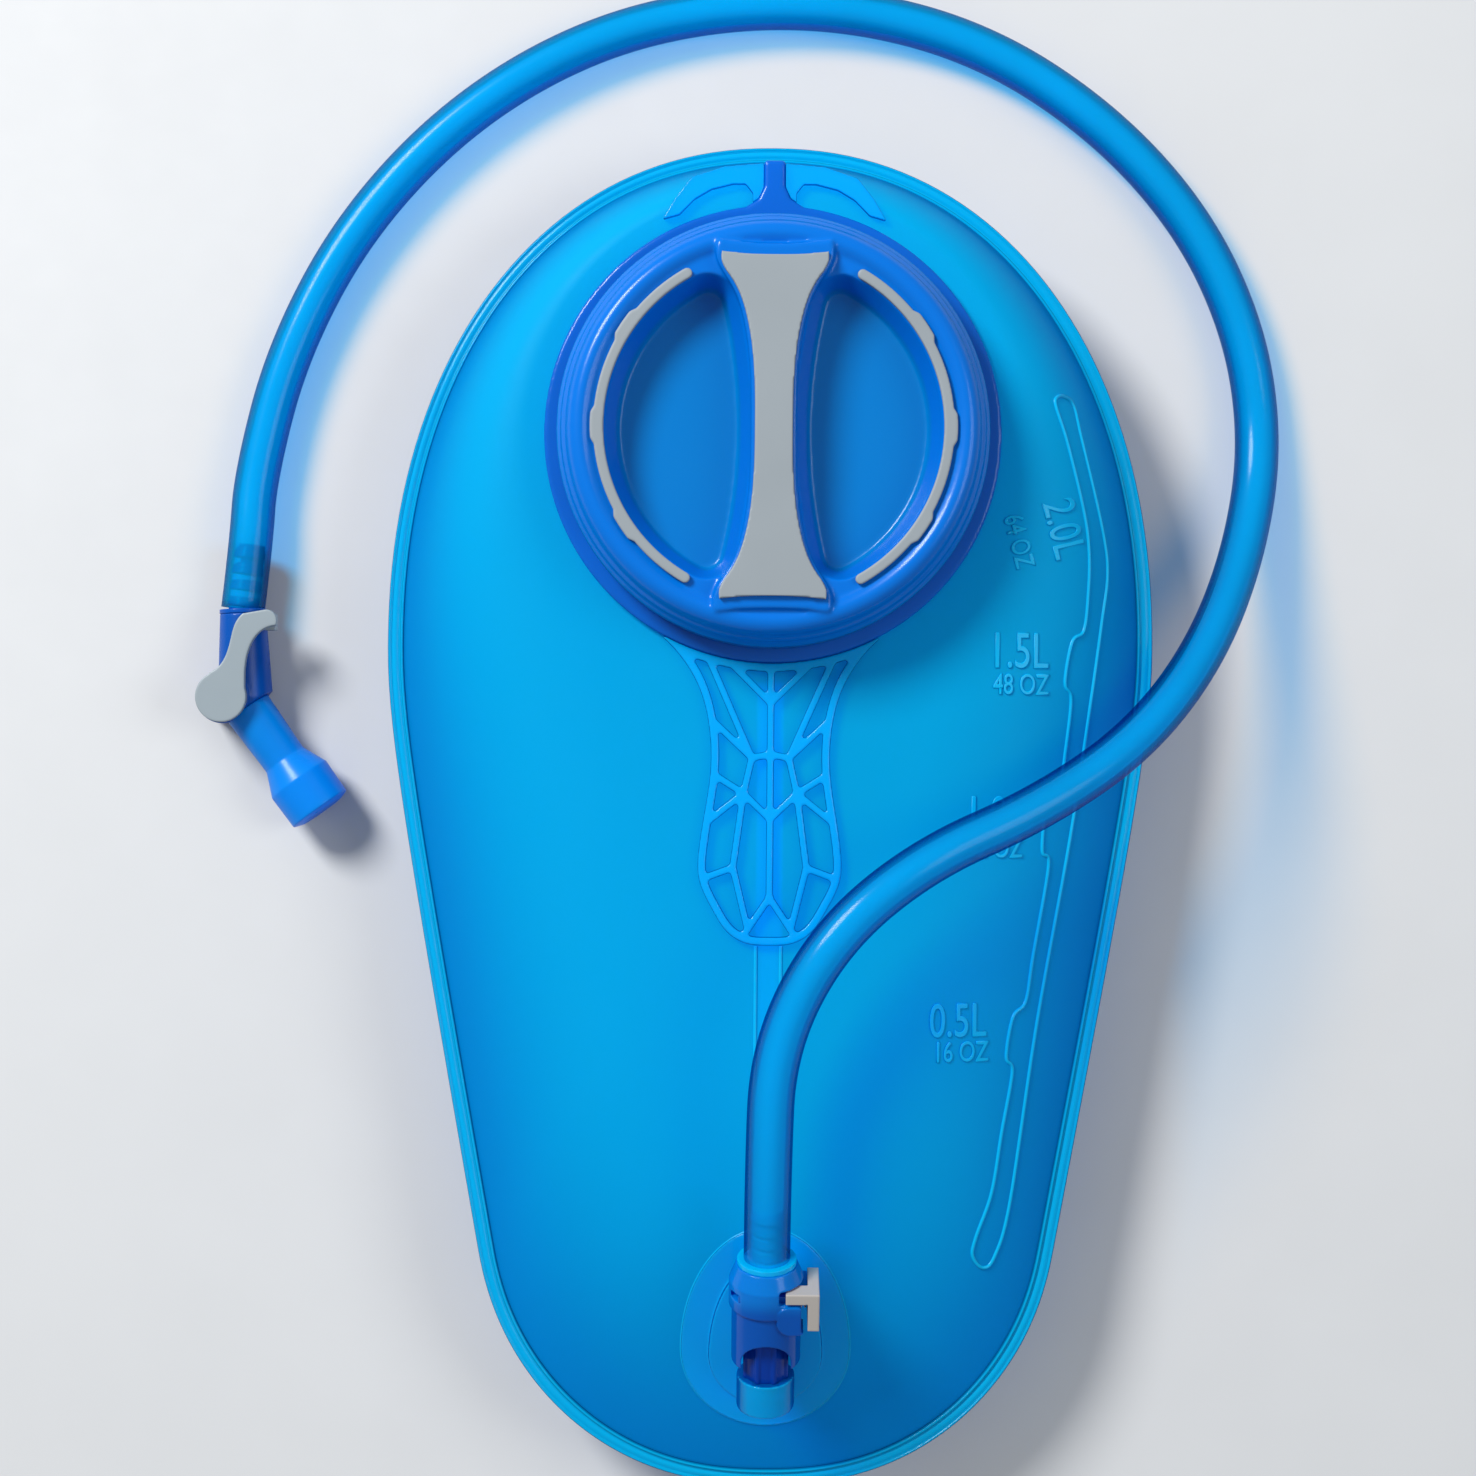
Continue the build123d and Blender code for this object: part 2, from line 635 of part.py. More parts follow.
def tube_points():
    """The drink tube's whole route, from the coupler's ring to the bite valve."""
    start = outlet_frame(COUPLER_L + RING_T).origin
    after = outlet_frame(COUPLER_L + RING_T + EXIT_RUN).origin
    before_end = (TUBE_END[0] + 2.0, TUBE_END[1] + 17.6, VALVE_Z)
    return [tuple(start), tuple(after), *ROUTE, before_end, (*TUBE_END, VALVE_Z)]


def tube_radii(points):
    """Each corner's arc: as large as its two runs allow."""
    radii = []
    for a, b, c in zip(points, points[1:], points[2:]):
        one, two = Vector(*b) - Vector(*a), Vector(*c) - Vector(*b)
        turn = math.radians(one.get_angle(two))
        radii.append(0.45 * min(one.length, two.length) / math.tan(turn / 2))
    return radii


def drink_tube():
    """The flexible tube, straight runs joined by tangent arcs."""
    points = tube_points()
    radii = tube_radii(points)
    path = FilletPolyline(*points, radius=radii)
    start = Plane(path @ 0, z_dir=path % 0)
    tube = sweep(start * (Circle(TUBE_R) - Circle(TUBE_BORE)), path=path)
    area = math.pi * (TUBE_R**2 - TUBE_BORE**2)
    print("tube length", round(path.length, 1), "volume share", round(tube.volume / area / path.length, 4))
    print("tube radii", [round(r) for r in radii])
    return tube


def valve_plane(at, towards):
    """Plane at a point of the bite valve, square to the line to another point."""
    way = Vector(towards[0] - at[0], towards[1] - at[1], 0)
    return Plane((*at, VALVE_Z), x_dir=(0, 0, 1), z_dir=way)


def valve_barb():
    """Barb of the bite valve, inside the tube's end."""
    up = valve_plane(TUBE_END, (TUBE_END[0] + 2.0, TUBE_END[1] + 17.6))
    down = valve_plane(TUBE_END, ELBOW)
    collar = down * Pos(0, 0, 0.6) * Cylinder(6.1, 1.2)
    collar += up * Pos(0, 0, -0.1) * Cylinder(TUBE_BORE - 0.1, 1.0)
    collar -= down * Cylinder(FLOW_R + 0.2, 4.0)
    return barbed(up, TUBE_BORE - 0.1, 17.0, 4) + collar


def valve_body():
    """Bite valve housing: inlet barrel, pivot barrel for the shut-off spool, and outlet spigot."""
    inlet = math.dist(TUBE_END, ELBOW)
    outlet = math.dist(MOUTH_START, MOUTH_END)
    down = valve_plane(TUBE_END, ELBOW)
    out = valve_plane(MOUTH_START, MOUTH_END)
    body = down * Pos(0, 0, inlet / 2 + 0.6) * Cone(6.0, 7.1, inlet - 1.2)
    body += Pos(*ELBOW, VALVE_Z) * Sphere(7.1) + cylinder(BARREL_R, *BARREL_Z, PIVOT)
    body -= out * Pos(0, 0, 10.0) * Cylinder(8.0, 20.0)
    body += out * Pos(0, 0, -3.0) * Cylinder(6.2, 6.0)
    body += out * Pos(0, 0, outlet * 0.22) * Cylinder(4.4, outlet * 0.44)
    body -= down * Pos(0, 0, inlet * 0.4) * Cylinder(FLOW_R, inlet)
    body -= out * Pos(0, 0, 4.0) * Cylinder(FLOW_R, 25.0)
    body -= valve_plane(PIVOT, TUBE_END) * Pos(0, 0, 9.0) * Cylinder(FLOW_R, 18.0)
    return body - cylinder(SPOOL_BORE, BARREL_Z[0] + 1.4, 20.0, PIVOT)


def spool_passage():
    """The spool's cross hole: open towards the tube and towards the mouthpiece."""
    to_tube = valve_plane(PIVOT, TUBE_END) * Pos(0, 0, 3.0) * Cylinder(1.9, 7.0)
    mouth_side = (MOUTH_START[0], MOUTH_START[1] + 0.6)
    to_mouth = valve_plane(PIVOT, mouth_side) * Pos(0, 0, 3.0) * Cylinder(1.9, 7.0)
    return to_tube + to_mouth


def shutoff_spool():
    """Turning plug with a cross hole and two seal grooves, keyed to the lever by a square head."""
    low, top = BARREL_Z[0] + 1.6, BARREL_Z[1] + 0.3
    body = cylinder(SPOOL_R, low, top, PIVOT)
    body += block((PIVOT[0] - 2, PIVOT[1] - 2, top - 1), (PIVOT[0] + 2, PIVOT[1] + 2, top + 1.4))
    for z in (4.9, 13.4):
        groove = cylinder(SPOOL_R + 1, z - 0.5, z + 0.5, PIVOT) - cylinder(SPOOL_R - 0.9, z - 1, z + 1, PIVOT)
        body -= groove
    return body - spool_passage()


def spool_o_rings():
    """The spool's two seals."""
    rings = [Pos(*PIVOT, z) * Torus(SPOOL_R - 0.46, 0.42) for z in (4.9, 13.4)]
    return Compound(children=rings)


def shutoff_lever():
    """Shut-off lever: pivot disc, curved arm along the valve and a lip folded over its side."""
    low = BARREL_Z[1] + 0.3
    edge = Spline([(-2.9, 6.2), (0.4, 9.0), (2.4, 14.4), (3.6, 18.8), (5.6, 21.6)])
    across = Line((5.6, 21.6), (11.7, 22.7))
    shoulder = ThreePointArc((11.7, 22.7), (14.0, 21.4), (14.2, 18.6))
    back = Spline([(14.2, 18.6), (9.4, 16.2), (6.8, 10.9), (6.2, 5.3), (6.2, -2.2)])
    close = Line((6.2, -2.2), (-2.9, 6.2))
    arm = extrude(make_face(Wire([edge, across, shoulder, back, close])), LEVER_T)
    disc = Pos(0, 0, LEVER_T / 2) * Cylinder(6.6, LEVER_T)
    lip = Pos(12.5, 19.6, -1.7) * Box(2.6, 4.6, 4.6)
    lever = Pos(*PIVOT, low) * (arm + disc + lip)
    hole = block((PIVOT[0] - 2.02, PIVOT[1] - 2.02, low - 1), (PIVOT[0] + 2.02, PIVOT[1] + 2.02, low + 1.45))
    return lever - hole


def mouthpiece():
    """Soft bite piece: neck, flared bulb and slit end."""
    length = math.dist(MOUTH_START, MOUTH_END)
    outer = [(0, 4.5), (0, 6.3), (16.6, 5.8), (23.0, 8.6), (length - 0.8, 8.4), (length, 6.0)]
    inner = [(length, 0), (length - 1.6, 0), (length - 1.9, 6.6), (23.6, 6.8), (15.6, 4.5), (0, 4.5)]
    face = make_face(Polyline(*[(r, t) for t, r in outer + inner]))
    body = revolve(Plane.XZ * face, Axis.Z)
    body -= Pos(0, 0, length) * Box(9.0, 0.5, 6.0)
    return valve_plane(MOUTH_START, MOUTH_END) * body


collar = fill_port_collar()
wing = hanger_wing() - collar
crescent = cap_crescent_grip()
NODES = {
    "front_panel": front_panel(),
    "back_panel": back_panel(),
    "centre_baffle": centre_baffle(),
    "fill_port_collar": collar,
    "hanger_wing_right": wing,
    "hanger_wing_left": mirrored(wing),
    "carry_handle": carry_handle(),
    "cap_shell": cap_shell(),
    "cap_bar_grip": cap_bar_grip(),
    "cap_grip_right": crescent,
    "cap_grip_left": mirrored(crescent),
    "cap_gasket": cap_gasket(),
    "outlet_port": outlet_port(),
    "outlet_nipple": outlet_nipple(),
    "outlet_o_ring": outlet_o_ring(),
    "check_poppet": check_poppet(),
    "check_spring": check_spring(),
    "coupler_body": coupler_body(),
    "latch_plate": latch_plate(),
    "release_button": release_button(),
    "button_spring": button_spring(),
    "coupler_barb": coupler_barb(),
    "drink_tube": drink_tube(),
    "valve_barb": valve_barb(),
    "valve_body": valve_body(),
    "shutoff_spool": shutoff_spool(),
    "spool_o_rings": spool_o_rings(),
    "shutoff_lever": shutoff_lever(),
    "mouthpiece": mouthpiece(),
}

os.makedirs("parts", exist_ok=True)
for name, shape in NODES.items():
    export_step(shape, f"parts/{name}.step")
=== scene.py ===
"""Looks of a hydration bladder: clear film bag, screw cap, lattice handle, drink tube and bite valve."""

import json
import math

import bpy
import numpy as np
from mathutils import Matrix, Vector
from mathutils.bvhtree import BVHTree

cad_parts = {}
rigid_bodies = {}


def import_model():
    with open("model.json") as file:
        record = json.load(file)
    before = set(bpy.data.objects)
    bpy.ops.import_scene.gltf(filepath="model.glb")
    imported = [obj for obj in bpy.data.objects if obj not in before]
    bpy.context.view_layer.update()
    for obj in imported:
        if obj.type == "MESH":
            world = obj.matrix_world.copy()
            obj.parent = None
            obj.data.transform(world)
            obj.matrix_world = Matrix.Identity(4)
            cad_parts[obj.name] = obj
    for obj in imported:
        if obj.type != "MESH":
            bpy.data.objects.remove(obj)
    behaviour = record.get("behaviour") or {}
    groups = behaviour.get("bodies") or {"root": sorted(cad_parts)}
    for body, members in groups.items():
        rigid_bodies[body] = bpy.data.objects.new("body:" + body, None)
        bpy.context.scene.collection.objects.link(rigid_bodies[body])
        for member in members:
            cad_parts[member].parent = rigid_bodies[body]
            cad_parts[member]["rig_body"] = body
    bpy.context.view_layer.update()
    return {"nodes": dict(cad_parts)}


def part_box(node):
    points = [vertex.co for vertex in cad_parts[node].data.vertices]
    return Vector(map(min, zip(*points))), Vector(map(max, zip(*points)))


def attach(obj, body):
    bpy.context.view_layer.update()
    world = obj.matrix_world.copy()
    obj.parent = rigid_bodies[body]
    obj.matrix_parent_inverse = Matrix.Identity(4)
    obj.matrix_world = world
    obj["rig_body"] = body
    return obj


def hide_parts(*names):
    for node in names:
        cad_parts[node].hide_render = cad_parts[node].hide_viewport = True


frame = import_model()
NODES = frame["nodes"]

# Sizes in metres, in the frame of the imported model
BAG_LOW, BAG_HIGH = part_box("front_panel")
SEAM_Z, PORT_Z = BAG_LOW.z, BAG_HIGH.z
HALF_WIDTH, END_Y = BAG_HIGH.x, BAG_HIGH.y
CAP_LOW, CAP_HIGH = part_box("cap_shell")
PORT_Y = (CAP_LOW.y + CAP_HIGH.y) / 2
WIDEST_Y = 0.043
TOE_Y = -0.111
TAPER, SHOULDER = 0.185, 0.025
HEAD_POWER, TOE_POWER = 2.15, 2.3
FLANGE = 0.0036
FLAT_R = 0.061
FLAT_TAIL_Y, FLAT_TAIL_R = -0.044, 0.017
REST_X, REST_Y = 0.52, 0.76
NECK_R = 0.045
TUBE_R, TUBE_BORE = 0.0057, 0.0038
OUTLET_Y, OUTLET_Z = -0.133, 0.052
OUTLET_TILT = math.radians(20)
TUBE_AT, EXIT_RUN = 0.028, 0.024
VALVE_Z = 0.0088
TUBE_END = (-0.1382, 0.0529)
ROUTE = [
    (0.001, -0.054, 0.074),
    (0.014, -0.028, 0.076),
    (0.0365, -0.009, 0.073),
    (0.066, 0.0035, 0.0625),
    (0.092, 0.0205, 0.049),
    (0.111, 0.043, 0.032),
    (0.1235, 0.070, 0.015),
    (0.129, 0.099, 0.006),
    (0.1245, 0.1285, 0.0058),
    (0.1105, 0.1575, 0.0058),
    (0.087, 0.183, 0.0058),
    (0.056, 0.203, 0.0058),
    (0.021, 0.2125, 0.0058),
    (-0.015, 0.2125, 0.0058),
    (-0.050, 0.2035, 0.0058),
    (-0.083, 0.1835, 0.0058),
    (-0.110, 0.1545, 0.0058),
    (-0.1275, 0.121, 0.0059),
    (-0.1355, 0.088, 0.0069),
]

# Embossed strip beside the volume marks, and the marks: text, size, place and turn in degrees
STRIP_INNER = [
    (0.0706, 0.1035),
    (0.0736, 0.0947),
    (0.0783, 0.077),
    (0.0797, 0.067),
    (0.0796, 0.057),
    (0.0786, 0.0478),
    (0.0755, 0.0448),
    (0.0738, 0.0346),
    (0.0755, 0.0306),
    (0.0744, 0.0184),
    (0.0728, 0.0075),
    (0.0697, 0.0045),
    (0.0686, -0.0075),
    (0.0704, -0.0115),
    (0.0667, -0.0345),
    (0.065, -0.0458),
    (0.0617, -0.0497),
    (0.0601, -0.0597),
    (0.0618, -0.0636),
    (0.0593, -0.0789),
    (0.0569, -0.0944),
    (0.0531, -0.1055),
]
STRIP_OUTER = [
    (0.0523, -0.1105),
    (0.0551, -0.1138),
    (0.0581, -0.111),
    (0.0619, -0.0969),
    (0.0682, -0.051),
    (0.076, -0.005),
    (0.0809, 0.0301),
    (0.0834, 0.0494),
    (0.0849, 0.0618),
    (0.0836, 0.0726),
    (0.0777, 0.0957),
    (0.0756, 0.1043),
    (0.0729, 0.1063),
    (0.0709, 0.1058),
]
MARKS = [
    ("2.0L", 0.0120, (0.0672, 0.0792), -75),
    ("64 OZ", 0.0068, (0.0575, 0.0755), -75),
    ("1.5L", 0.0125, (0.0540, 0.0382), 0),
    ("48 OZ", 0.0072, (0.0553, 0.0316), 0),
    ("1.0L", 0.0125, (0.0485, -0.0026), 0),
    ("32 OZ", 0.0072, (0.0492, -0.0092), 0),
    ("0.5L", 0.0120, (0.0401, -0.0541), 0),
    ("16 OZ", 0.0072, (0.0412, -0.0604), 0),
]
MARK_NARROW = 0.72
LINE_R, OUTLET_LINE_R = 0.0006, 0.00035
LINE_SINK = 0.35
LINE_RUN = 8
BAFFLE_WELD_X = {"left": -0.0033, "right": 0.0029}
BAFFLE_WELD_Y = (-0.0315, -0.104)
MARK_DEPTH, MARK_THINNER, MARK_ROUND = 0.00005, -0.0001, 0.0003
UNDERSIDE_LIFT = 0.0003

# Mesh detail: steps round the head and the toe in degrees, steps down a side, and rings of the films
TURN_STEP, SIDE_STEPS = 2, 30
FRONT_RINGS, PORT_RINGS, BACK_RINGS = 34, 9, 26
REST_SHARES = (0.75, 0.5, 0.25, 0.04)

# Mouldings: node, material, voxel size and rounds of smoothing
BAG_MOULDINGS = [
    ("fill_port_collar", "collar", 0.00055, 3),
    ("hanger_wing_right", "wing", 0.00028, 3),
    ("hanger_wing_left", "wing", 0.00028, 3),
    ("carry_handle", "handle", 0.00034, 3),
    ("cap_shell", "cap", 0.0005, 6),
    ("cap_bar_grip", "grip", 0.0004, 2),
    ("cap_grip_right", "grip", 0.0003, 2),
    ("cap_grip_left", "grip", 0.0003, 2),
    ("outlet_port", "outlet", 0.0003, 4),
    ("outlet_nipple", "nipple", 0.0002, 2),
]
CORD_MOULDINGS = [
    ("coupler_body", "coupler", 0.00022, 5),
    ("release_button", "button", 0.0002, 5),
    ("coupler_barb", "ring", 0.0002, 2),
    ("valve_barb", "valve", 0.0002, 2),
    ("valve_body", "valve", 0.00022, 8),
    ("shutoff_lever", "lever", 0.0002, 8),
    ("mouthpiece", "mouth", 0.00025, 6),
]

# CAD nodes that stay as they are: node and material
BAG_NODES = {
    "centre_baffle": "film",
    "cap_gasket": "seal",
    "outlet_o_ring": "seal",
    "check_poppet": "nipple",
    "check_spring": "steel",
}
CORD_NODES = {
    "latch_plate": "latch",
    "button_spring": "steel",
    "shutoff_spool": "valve",
    "spool_o_rings": "seal",
}

# Floor, lamps and camera
FLOOR_SIZE, FLOOR_Z = 8, -0.0002
FLOOR_COLOUR = (0.6, 0.61, 0.62)
LAMPS_AIM = (0, 0, 0.03)
KEY_AT, KEY_SIZE, KEY_POWER, KEY_COLOUR = (-0.95, 0.95, 1.2), 0.6, 36, (1, 1, 1)
FILL_AT, FILL_SIZE, FILL_POWER, FILL_COLOUR = (1.2, 0.1, 1.3), 0.9, 8, (0.95, 0.98, 1)
SKY_COLOUR, SKY_STRENGTH = (0.93, 0.96, 1), 0.36
CAMERA_AT, CAMERA_TURN = (-0.00806, 0.0201, 0.776), math.radians(0.45)
LENS, SENSOR = 71.3, 36

# The share of a colour ramp over which one colour turns into the other
DRIFT_LOW, DRIFT_HIGH = 0.35, 0.65
# The height of a surface's normal at which a clear moulding's painted shade, its dark outline, starts to
# fade
UPRIGHT = 0.35


# Materials


def new_material(name):
    mat = bpy.data.materials.new(name)
    mat.use_nodes = True
    nodes = mat.node_tree.nodes
    nodes.clear()
    out = nodes.new("ShaderNodeOutputMaterial")
    return mat, mat.node_tree, out


def noise(tree, scale, detail=3.0, roughness=0.55):
    """A noise texture in object coordinates."""
    coords = tree.nodes.new("ShaderNodeTexCoord")
    texture = tree.nodes.new("ShaderNodeTexNoise")
    texture.inputs["Scale"].default_value = scale
    texture.inputs["Detail"].default_value = detail
    texture.inputs["Roughness"].default_value = roughness
    tree.links.new(coords.outputs["Object"], texture.inputs["Vector"])
    return texture.outputs["Fac"]


def between(tree, value, low, high):
    """The value moved from 0..1 to low..high."""
    ramp = tree.nodes.new("ShaderNodeMapRange")
    ramp.inputs["To Min"].default_value = low
    ramp.inputs["To Max"].default_value = high
    tree.links.new(value, ramp.inputs["Value"])
    return ramp.outputs["Result"]


def tinted(tree, value, dark, light):
    """A colour that drifts between two as the value goes from DRIFT_LOW to DRIFT_HIGH."""
    ramp = tree.nodes.new("ShaderNodeValToRGB")
    ramp.color_ramp.elements[0].position = DRIFT_LOW
    ramp.color_ramp.elements[1].position = DRIFT_HIGH
    ramp.color_ramp.elements[0].color = (*dark, 1)
    ramp.color_ramp.elements[1].color = (*light, 1)
    tree.links.new(value, ramp.inputs["Fac"])
    return ramp.outputs["Color"]


def blended(tree, value, below, above):
    """A colour that goes from one to another as the value goes from 0 to 1."""
    return tinted(tree, between(tree, value, DRIFT_LOW, DRIFT_HIGH), below, above)


def bump(tree, value, strength, distance):
    node = tree.nodes.new("ShaderNodeBump")
    node.inputs["Strength"].default_value = strength
    node.inputs["Distance"].default_value = distance
    tree.links.new(value, node.inputs["Height"])
    return node.outputs["Normal"]


def scaled(colour, by):
    return tuple(min(1.0, c * by) for c in colour)


def plastic(tree, colour, rough, drift=0.06, coat=0.0, shine=0.5, grain=2600.0, grain_depth=0.00003):
    """A moulded plastic's Principled shader: colour drift, uneven gloss and a fine mould grain."""
    shader = tree.nodes.new("ShaderNodeBsdfPrincipled")
    broad = noise(tree, 22.0)
    fine = noise(tree, grain, 2.0)
    base = tinted(tree, broad, scaled(colour, 1 - drift), scaled(colour, 1 + drift))
    tree.links.new(base, shader.inputs["Base Color"])
    tree.links.new(between(tree, noise(tree, 95.0), rough * 0.75, rough * 1.25), shader.inputs["Roughness"])
    tree.links.new(bump(tree, fine, 0.12, grain_depth), shader.inputs["Normal"])
    shader.inputs["Specular IOR Level"].default_value = shine
    shader.inputs["Coat Weight"].default_value = coat
    shader.inputs["Coat Roughness"].default_value = 0.08
    return shader, base


def opaque(name, colour, rough=0.35, **more):
    mat, tree, out = new_material(name)
    shader, _ = plastic(tree, colour, rough, **more)
    tree.links.new(shader.outputs[0], out.inputs["Surface"])
    return mat


def mixed(tree, share, one, two):
    mix = tree.nodes.new("ShaderNodeMixShader")
    mix.inputs["Fac"].default_value = share
    tree.links.new(one, mix.inputs[1])
    tree.links.new(two, mix.inputs[2])
    return mix.outputs[0]


def clear(name, colour, see=0.3, glow=0.4, rough=0.2, tint=None, lamp_shade=None, **more):
    """A clear tinted plastic: a glossy face, light scattered in it, and a share seen straight through."""
    mat, tree, out = new_material(name)
    shader, base = plastic(tree, colour, rough, **more)
    through = tree.nodes.new("ShaderNodeBsdfTranslucent")
    tree.links.new(base, through.inputs["Color"])
    straight = tree.nodes.new("ShaderNodeBsdfTransparent")
    straight.inputs["Color"].default_value = (*(tint or colour), 1)
    body = mixed(tree, glow, shader.outputs[0], through.outputs[0])
    surface = mixed(tree, see, body, straight.outputs[0])
    if lamp_shade:
        surface = lamps_pass(tree, surface, lamp_shade)
    tree.links.new(surface, out.inputs["Surface"])
    return mat


def lamps_pass(tree, surface, shade):
    """Lets lamps through a clear moulding, in its own shade, so that its shadow stays light."""
    straight = tree.nodes.new("ShaderNodeBsdfTransparent")
    straight.inputs["Color"].default_value = (*shade, 1)
    light_path = tree.nodes.new("ShaderNodeLightPath")
    mix = tree.nodes.new("ShaderNodeMixShader")
    tree.links.new(light_path.outputs["Is Shadow Ray"], mix.inputs["Fac"])
    tree.links.new(surface, mix.inputs[1])
    tree.links.new(straight.outputs[0], mix.inputs[2])
    return mix.outputs[0]


def painted_edge_shade(mat, face, edge, flat=0.93):
    """Paints shade into a clear moulding's colour: a dark outline, the colour deepening where a wall stands
    upright.

    The face's colour is reached where the surface's normal is as high as flat.
    """
    tree = mat.node_tree
    coords = tree.nodes.new("ShaderNodeTexCoord")
    parts = tree.nodes.new("ShaderNodeSeparateXYZ")
    tree.links.new(coords.outputs["Normal"], parts.inputs[0])
    level = tree.nodes.new("ShaderNodeMapRange")
    level.inputs["From Min"].default_value = UPRIGHT
    level.inputs["From Max"].default_value = flat
    tree.links.new(parts.outputs["Z"], level.inputs["Value"])
    return recoloured(mat, blended(tree, level.outputs["Result"], edge, face))


def recoloured(mat, colour):
    """Drives a clear material's own colour, in its face and in its body."""
    tree = mat.node_tree
    for node in tree.nodes:
        if node.bl_idname == "ShaderNodeBsdfPrincipled":
            tree.links.new(colour, node.inputs["Base Color"])
        if node.bl_idname == "ShaderNodeBsdfTranslucent":
            tree.links.new(colour, node.inputs["Color"])
    return mat


def place_tinted(tree, low, high, below, above, axis="Z"):
    """A colour that changes along one axis of the piece, from one level to another."""
    coords = tree.nodes.new("ShaderNodeTexCoord")
    parts = tree.nodes.new("ShaderNodeSeparateXYZ")
    tree.links.new(coords.outputs["Object"], parts.inputs[0])
    level = tree.nodes.new("ShaderNodeMapRange")
    level.interpolation_type = "SMOOTHSTEP"
    level.inputs["From Min"].default_value = low
    level.inputs["From Max"].default_value = high
    tree.links.new(parts.outputs[axis], level.inputs["Value"])
    return blended(tree, level.outputs["Result"], below, above)


def film_material():
    """The bag's film, with painted shade: bright over the water, darker towards the seam where both films
    run together.
    """
    looks = {"see": 0.2, "glow": 0.42, "rough": 0.5, "tint": (0.0, 0.7, 1.0), "shine": 0.08, "grain": 900.0}
    mat = clear("film", (0.0, 0.52, 1.0), **looks)
    # painted shade: the colour darkens from high on the dome down to the seam
    colour = place_tinted(mat.node_tree, SEAM_Z, SEAM_Z + 0.023, (0.0, 0.33, 0.76), (0.0, 0.6, 1.0))
    return recoloured(mat, colour)


def cap_material():
    """The cap's deep blue, with painted light: the thin floors of its pockets drawn lighter, for light
    passing through them.
    """
    mat = clear("cap", (0.0, 0.19, 0.72), see=0.04, glow=0.18, rough=0.22, coat=0.08, shine=0.22)
    tree = mat.node_tree
    floor_z = CAP_LOW.z + 0.0078
    # painted light: the pocket floors get their own lighter colour below floor_z
    colour = place_tinted(tree, floor_z, floor_z + 0.0027, (0.0, 0.21, 0.6), (0.0, 0.18, 0.72))
    return recoloured(mat, colour)


def coupler_material():
    """The coupler's blue, lighter around its crown and its lug."""
    mat = clear("coupler", (0.0, 0.13, 0.62), see=0.1, glow=0.35, rough=0.15, coat=0.12, shine=0.3)
    shoulder = OUTLET_Y + 0.012
    body, crown = (0.0, 0.12, 0.58), (0.0, 0.26, 0.82)
    return recoloured(mat, place_tinted(mat.node_tree, shoulder, shoulder + 0.005, body, crown, "Y"))


def metal(name, colour, rough):
    mat, tree, out = new_material(name)
    shader, _ = plastic(tree, colour, rough, drift=0.03)
    shader.inputs["Metallic"].default_value = 1.0
    tree.links.new(shader.outputs[0], out.inputs["Surface"])
    return mat


def weld_material():
    mat = clear("weld", (0.0, 0.46, 0.9), see=0.2, glow=0.35, rough=0.15, shine=0.2)
    # painted shade: the weld's beads darken to a deep blue on their upright sides
    return painted_edge_shade(mat, (0.0, 0.6, 1.0), (0.0, 0.05, 0.2), 0.9)


def line_material():
    mat = clear("line", (0.0, 0.46, 0.95), see=0.1, glow=0.3, rough=0.25, shine=0.2)
    # painted shade: the raised lines and marks darken on their sloping sides
    return painted_edge_shade(mat, (0.0, 0.62, 1.0), (0.0, 0.33, 0.7))


def moulded_material(name, face, edge, flat=0.93):
    """A clear moulding that lies on the film, with painted shade: its upright walls darkened to the edge
    colour.
    """
    looks = {"see": 0.2, "glow": 0.4, "rough": 0.15, "coat": 0.12, "shine": 0.2}
    mat = clear(name, (0.0, 0.46, 0.9), tint=(0.0, 0.7, 1.0), lamp_shade=(0.4, 0.85, 1.0), **looks)
    return painted_edge_shade(mat, face, edge, flat)


def tube_material():
    """The tube's wall, with painted shade: bright along the middle, dark blue on its sides where the wall
    turns upright.
    """
    looks = {"see": 0.42, "glow": 0.4, "rough": 0.16, "coat": 0.08, "shine": 0.22}
    mat = clear("tube", (0.0, 0.19, 0.5), tint=(0.0, 0.72, 1.0), lamp_shade=(0.25, 0.75, 0.95), **looks)
    return painted_edge_shade(mat, (0.0, 0.4, 0.7), (0.0, 0.0, 0.12), 0.98)


def bore_material():
    looks = {"see": 0.12, "glow": 0.5, "rough": 0.3, "shine": 0.2}
    return clear("bore", (0.0, 0.8, 0.95), lamp_shade=(0.3, 0.85, 1.0), **looks)


